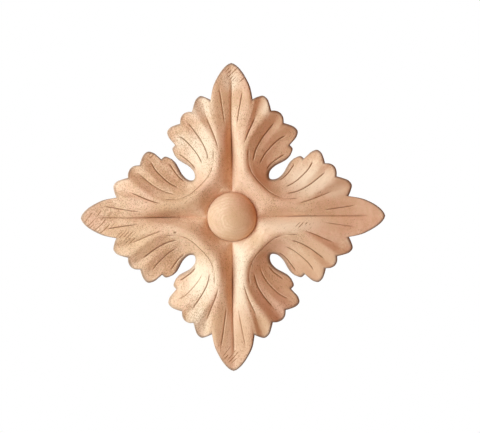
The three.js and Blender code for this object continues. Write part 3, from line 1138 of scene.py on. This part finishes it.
@dataclass(frozen=True)
class RawWood:
    """Raw sanded hardwood, pale and pinkish, with the grain upright.

    Attributes:
        cream, tan, rose: the wood's own colours.
        pale_and_lit: the palest colour, for pale spots that lie mostly on faces turned to the key light, so
            it is partly painted light.
        fleck: colour of its short pores.
        dust_and_shade: colour of the bottoms of the gouge lines and of the ball's foot, which is dirt and
            painted shade in those creases, and of the pin knot.
        edge: colour of the painted shade along the edges.
        patch, blush, mottle, fibre, speckle, pore: its patterns.
        blush_to_right: how much more blush there is with each millimetre to the right.
        pores_to_left: and how many more pores with each to the left.
        pore_drift, pore_drift_scale: how much and how slowly they grow thicker and thinner.
        rings, ovals: the year rings round the tree's heart, and as the ball's cut shows them.
        ring_power: power that narrows the dark part of a ring.
        oval_section: heights of the ovals' wave between which they darken.
        ball: distances from the middle between which the ball's own grain ends, in millimetres.
        ball_lacks: the share of the pores that the ball lacks.
        tone_and_light_spots: spots of paler, of pinker and of darker colour, partly the wood's own patches
            and partly painted light and shade: the pale ones lie mostly on faces turned to the key light,
            the others mostly on faces turned from it.
        knot: a pin knot.
        rasped: spots with rasp strokes.
        stroke_gap: from one stroke to the next, in millimetres.
        stroke_slant: how far they lean over from the grain, in degrees.
        stroke_height: how deep they are, over the pores.
        stroke_wobble, stroke_wobble_scale: how far they stray, in millimetres, and how often that changes.
        stroke_section: heights of a wave across them between which they darken.
        stroke_grain, stroke_breaks: the noise that breaks them, and between which of its values it does.
        left_edge_shade: the share of the painted edge shade that edges facing the key light on the left
            keep, over others.
        edge_turns: the facing's parts to the right between which that changes.
        grooved: marks between which the grooves darken with dirt and painted shade.
        groove_share: how much they do.
        bump, bump_height: strength and height of the surface's unevenness.
        rough, fibre_rough: its roughness, and how much the fibres add.
        shine: its specular level.
    """

    cream: Colour = (0.88, 0.615, 0.395, 1)
    tan: Colour = (0.64, 0.37, 0.19, 1)
    rose: Colour = (0.765, 0.425, 0.28, 1)
    pale_and_lit: Colour = (0.94, 0.74, 0.53, 1)
    fleck: Colour = (0.30, 0.11, 0.03, 1)
    dust_and_shade: Colour = (0.22, 0.085, 0.03, 1)
    edge: Colour = (0.30, 0.19, 0.13, 1)
    patch: Pattern = Pattern(tan, (0.06, 0.06, 0.06), 0.35, 0.68)
    blush: Pattern = Pattern(rose, (0.1, 0.1, 0.05), 0.44, 0.68, 0.6)
    mottle: Pattern = Pattern(tan, (0.55, 0.55, 0.55), 0.42, 0.72, 0.5, 3, 0.65, 0.5)
    fibre: Pattern = Pattern(tan, (2.6, 2.6, 0.3), 0.45, 0.75, 0.3, 3, 0.6, 0.35)
    speckle: Pattern = Pattern(rose, (1.9, 1.9, 1.2), 0.46, 0.58, 0.7, 2, 0.75, 0.8)
    pore: Pattern = Pattern(fleck, (2.4, 2.4, 1.5), 0.735, 0.80, 0.5)
    blush_to_right: float = 0.0009
    pores_to_left: float = 0.0012
    pore_drift: float = 0.3
    pore_drift_scale: Triple = (0.07, 0.07, 0.07)
    rings: Rings = Rings((-14.0, 70.0, 0.0), (1.0, 1.0, 0.03), 2.6, 5, (0.12, 0.12, 0.03), 2, 0.3)
    ovals: Rings = Rings((1.5, 0.0, -2.0), (0.8, 0.0, 1.2), 1.7, 3, (0.2, 0.2, 0.2), 1, 0.5)
    ring_power: float = 3
    oval_section: Range = (-0.2, 1.0)
    ball: Range = (12.4, 11.4)
    ball_lacks: float = 0.7
    # Pale spots mostly on faces turned to the key light, pink and tan ones mostly on faces turned from it
    # and on the ball's lower right: partly painted light and shade.
    tone_and_light_spots: tuple[Stain, ...] = (
        Stain(pale_and_lit, 0.55, (
            Spot(-15, 54, 6, 6), Spot(-14, 33, 7, 10), Spot(-14, -31, 7, 10), Spot(-17, -50, 5, 8),
            Spot(30, -3, 16, 4), Spot(38, 17, 12, 7), Spot(4, -27, 4, 16), Spot(0, 66, 4, 4),
            Spot(-25, 37, 3, 3), Spot(50, 13, 6, 4), Spot(19, 52, 4, 4),
        )),
        Stain(rose, 0.5, (
            Spot(38, -29, 12, 10), Spot(3, -60, 8, 13), Spot(22, -44, 8, 9), Spot(-68, -1, 5, 5),
        )),
        Stain(tan, 0.5, (
            Spot(-5, -54, 4, 12), Spot(14, -54, 6, 6), Spot(40, -24, 12, 10), Spot(-48, -11, 10, 7),
            Spot(-26, 7, 10, 5), Spot(-5, 51, 4, 9), Spot(3, -3, 7, 7), Spot(0, -9, 8, 3),
            Spot(12, -12, 3, 3), Spot(5, -59, 6, 11), Spot(34, -33, 8, 8),
        )),
    )
    knot: Stain = Stain(dust_and_shade, 0.8, (Spot(-27.4, -7.3, 0.7, 0.5),), 1.4, 0.5)
    rasped: Stain = Stain(fleck, 0.85, (
        Spot(-65, -2, 8, 6.5), Spot(-1, -67, 4, 4), Spot(-51, -10, 6, 4), Spot(35, -5, 4, 2.5),
        Spot(3, 70, 6, 5), Spot(-41, 30, 4, 3),
    ), 1.15, 0.75)
    stroke_gap: float = 1.4
    stroke_slant: float = -45.0
    stroke_height: float = 0.7
    stroke_wobble: float = 3
    stroke_wobble_scale: Triple = (0.07, 0.07, 0.07)
    stroke_section: Range = (0.3, 0.8)
    stroke_grain: Triple = (0.9, 0.9, 0.16)
    stroke_breaks: Range = (0.46, 0.54)
    left_edge_shade: float = 0.35
    edge_turns: Range = (-0.8, -0.1)
    grooved: Range = (0.1, 0.9)
    groove_share: float = 0.82
    bump: float = 0.7
    bump_height: float = 0.14 * MM
    rough: float = 0.6
    fibre_rough: float = 0.16
    shine: float = 0.3

    def material(self) -> bpy.types.Material:
        """The finish as a material.

        Returns:
            A procedural material that reads Object coordinates and the mesh's groove and rim attributes.
        """
        tree = Tree("raw_wood")
        place = tree.object_place()
        x = tree.part(place, "X")
        colour = self.patch.over(tree, self.patch.on(tree, place), self.cream)
        colour = self.blush.over(tree, self.blush.on(tree, place) + x * self.blush_to_right, colour)
        ball = tree.distance(place, (0.0, 0.0, 0.0), (1.0, 0.0, 1.0)).step(*self.ball)
        colour = tree.mix(self._rings(tree, place, ball), colour, self.tan)
        noises = {pattern: pattern.on(tree, place) for pattern in (self.mottle, self.fibre, self.speckle)}
        for pattern, noise in noises.items():
            colour = pattern.over(tree, noise, colour)
        # Spots that are partly the wood's own patches and partly painted light and shade.
        for stain in self.tone_and_light_spots:
            colour = stain.over(tree, place, colour)
        pores = self._pores(tree, place, x) * (1 - ball * self.ball_lacks)
        strokes = self._strokes(tree, place)
        colour = tree.mix((pores * self.pore.share).most(strokes * self.rasped.share), colour, self.fleck)
        colour = self._marks(tree, self.knot.over(tree, place, colour))
        height = reduce(Value.__add__, [noise * pattern.height for pattern, noise in noises.items()])
        height = height - pores - strokes * self.stroke_height
        bumps = {"Strength": self.bump, "Distance": self.bump_height, "Height": height}
        sockets = {
            "Base Color": colour,
            "Roughness": self.rough + noises[self.fibre] * self.fibre_rough,
            "Normal": Value(tree, tree.add("ShaderNodeBump", {}, bumps).outputs[0]),
            "Specular IOR Level": self.shine,
        }
        shader = tree.add("ShaderNodeBsdfPrincipled", {}, sockets)
        tree.add("ShaderNodeOutputMaterial", {}, {"Surface": Value(tree, shader.outputs[0])})
        return tree.material

    def _rings(self, tree: Tree, place: Value, ball: Value) -> Value:
        """Year rings: narrow dark bands all over, and broad soft ones on the ball.

        Args:
            tree: the material's tree.
            place: places on the piece.
            ball: 1 on the ball and 0 off it.

        Returns:
            How dark they are.
        """
        bands = (self.rings.wave(tree, place) * 0.5 + 0.5) ** self.ring_power
        ovals = self.ovals.wave(tree, place).step(*self.oval_section)
        return (bands * self.rings.share).most(ovals * ball * self.ovals.share)

    def _marks(self, tree: Tree, colour: Value) -> Value:
        """A colour with painted shade along its edges, less on those that face the key light on the left,
        and its grooves darkened by dirt and painted shade.

        Args:
            tree: the material's tree.
            colour: the colour.

        Returns:
            The darkened colour.
        """
        # Painted shade along the edge: full where the edge faces away from the key light on the left, a
        # little where it faces it.
        facing = tree.part(tree.facing(), "X").step(*self.edge_turns)
        edge_shade_share = self.left_edge_shade + facing * (1 - self.left_edge_shade)
        colour = tree.mix(tree.attribute("rim") * edge_shade_share, colour, self.edge)
        # Dirt and painted shade in the gouge lines, the stop line and the ball's foot.
        groove = tree.attribute("groove").step(*self.grooved) * self.groove_share
        return tree.mix(groove, colour, self.dust_and_shade)

    def _pores(self, tree: Tree, place: Value, x: Value) -> Value:
        """Short dark pores along the grain, thicker in some patches than in others, and to the left.

        Args:
            tree: the material's tree.
            place: places on the piece.
            x: how far to the right each place is.

        Returns:
            How dark they are.
        """
        dense = tree.noise(place, self.pore_drift_scale, 1) * self.pore_drift - x * self.pores_to_left
        return (self.pore.on(tree, place) + dense).step(self.pore.low, self.pore.high)

    def _strokes(self, tree: Tree, place: Value) -> Value:
        """Slanting rasp strokes, broken and a little uneven, only on the rasped spots.

        Args:
            tree: the material's tree.
            place: places on the piece.

        Returns:
            How dark they are.
        """
        along = tree.turned(place, self.stroke_slant)
        wobble = tree.noise(place, self.stroke_wobble_scale, 1) * self.stroke_wobble
        across = (tree.part(along, "X") + wobble) * (2 * math.pi / self.stroke_gap)
        band = across.sine().step(*self.stroke_section)
        broken = tree.noise(along, self.stroke_grain, 1).step(*self.stroke_breaks)
        return band * broken * self.rasped.near(tree, place)


@dataclass(frozen=True)
class Lamp:
    """A square soft light that faces the piece.

    Attributes:
        name: its name.
        place: where it hangs, from the camera's focus.
        size: its side.
        watts: its power.
        colour: its colour.
    """

    name: str
    place: Triple
    size: float
    watts: float
    colour: Triple


@dataclass
class Studio:
    """The camera, the lights and the floor.

    Attributes:
        focus: the point that the camera looks at.
        azimuth: how far the camera stands round to the right, in degrees.
        distance: from the camera to the focus.
        frame_width: width of what it sees at the focus.
        roll: how far it is rolled, in degrees.
        lamps: a large cool light on the left, a weak warm one in front and a pale one behind the piece.
        backdrop: colour of the surrounding as the camera sees it.
        glow, glow_strength: the light that it sheds, which is warm and weak.
        floor_drop: the floor below the object's middle.
        floor_reach: half its side.
        floor_colours: the two pale colours that drift over it.
    """

    focus: Vector
    azimuth: float = 3.5
    distance: float = 1.5
    frame_width: float = 0.2336
    roll: float = 0.45
    lamps: tuple[Lamp, ...] = (
        Lamp("key", (-0.74, -0.643, 0.198), 0.9, 20.4, (0.53, 0.75, 0.87)),
        Lamp("fill", (0.0, -1.0, 0.0), 2.0, 2.5, (1.0, 0.25, 0.05)),
        Lamp("back", (-0.3, 1.1, 0.5), 1.0, 15.0, (0.9, 0.96, 1.0)),
    )
    backdrop: Colour = (1, 1, 1, 1)
    glow: Colour = (1.0, 0.35, 0.02, 1)
    glow_strength: float = 0.31
    floor_drop: float = 0.36
    floor_reach: float = 0.9
    floor_colours: tuple[Colour, Colour] = ((0.68, 0.74, 0.76, 1), (0.72, 0.78, 0.80, 1))

    def camera(self) -> None:
        """Puts up the camera, on a long lens at the photograph's angle."""
        lens = bpy.data.cameras.new("camera")
        lens.sensor_width = 36.0
        lens.lens = lens.sensor_width * self.distance / self.frame_width
        lens.clip_end = 20.0
        angle = math.radians(self.azimuth)
        back = Vector((math.sin(angle), -math.cos(angle), 0))
        camera = shown("camera", lens)
        turn = back.to_track_quat("Z", "Y").to_matrix().to_4x4()
        roll = Matrix.Rotation(math.radians(-self.roll), 4, "Z")
        camera.matrix_world = Matrix.Translation(self.focus + back * self.distance) @ turn @ roll
        bpy.context.scene.camera = camera

    def light(self, lamp: Lamp) -> None:
        """Hangs a lamp, which the camera doesn't see itself.

        Args:
            lamp: the lamp.
        """
        light = bpy.data.lights.new(lamp.name, "AREA")
        light.size = lamp.size
        light.energy = lamp.watts
        light.color = lamp.colour
        hung = shown(lamp.name, light)
        hung.visible_camera = False
        place = self.focus + Vector(lamp.place)
        turn = (place - self.focus).normalized().to_track_quat("Z", "Y").to_matrix().to_4x4()
        hung.matrix_world = Matrix.Translation(place) @ turn

    def world(self) -> None:
        """Sets up a surrounding that looks white and lights the piece weakly and warmly."""
        world = bpy.data.worlds.new("studio")
        world.use_nodes = True
        nodes, links = world.node_tree.nodes, world.node_tree.links
        nodes.clear()
        seen, lit = nodes.new("ShaderNodeBackground"), nodes.new("ShaderNodeBackground")
        seen.inputs["Color"].default_value = self.backdrop
        lit.inputs["Color"].default_value = self.glow
        lit.inputs["Strength"].default_value = self.glow_strength
        path, mix = nodes.new("ShaderNodeLightPath"), nodes.new("ShaderNodeMixShader")
        links.new(path.outputs["Is Camera Ray"], mix.inputs[0])
        links.new(lit.outputs[0], mix.inputs[1])
        links.new(seen.outputs[0], mix.inputs[2])
        links.new(mix.outputs[0], nodes.new("ShaderNodeOutputWorld").inputs[0])
        bpy.context.scene.world = world

    def floor(self) -> None:
        """Lays a plain pale floor well below the piece."""
        reach, z = self.floor_reach, self.focus.z - self.floor_drop
        corners = [(-reach, -reach, z), (reach, -reach, z), (reach, reach, z), (-reach, reach, z)]
        mesh = bpy.data.meshes.new("floor")
        mesh.from_pydata(corners, [], [(0, 1, 2, 3)])
        tree = Tree("pale_floor")
        speckle = tree.noise(tree.object_place(), (0.4, 0.4, 0.4), 2)
        sockets = {"Base Color": tree.mix(speckle, *self.floor_colours), "Roughness": 0.8}
        shader = tree.add("ShaderNodeBsdfPrincipled", {}, sockets)
        tree.add("ShaderNodeOutputMaterial", {}, {"Surface": Value(tree, shader.outputs[0])})
        mesh.materials.append(tree.material)
        floor = shown("floor", mesh)

    def build(self) -> None:
        """Sets up everything that isn't part of the object."""
        self.camera()
        for lamp in self.lamps:
            self.light(lamp)
        self.world()
        self.floor()
        bpy.context.scene.view_settings.view_transform = "Standard"


def main() -> None:
    """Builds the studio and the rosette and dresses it."""
    logging.basicConfig(level=logging.INFO, format="%(name)s: %(message)s")
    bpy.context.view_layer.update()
    low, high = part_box(NODE)
    off_centre = Vector((3.7 * MM, -5 * MM, 0.2 * MM))
    Studio(focus=off_centre).build()
    rosette = Rosette(low, high).build()
    rosette.data.materials.append(RawWood().material())
    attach(rosette, "root")
    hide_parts(NODE)
    mesh = rosette.data
    log.info("%s: %d vertices, %d faces", rosette.name, len(mesh.vertices), len(mesh.polygons))
    bpy.context.view_layer.update()


if __name__ == "__main__":
    main()
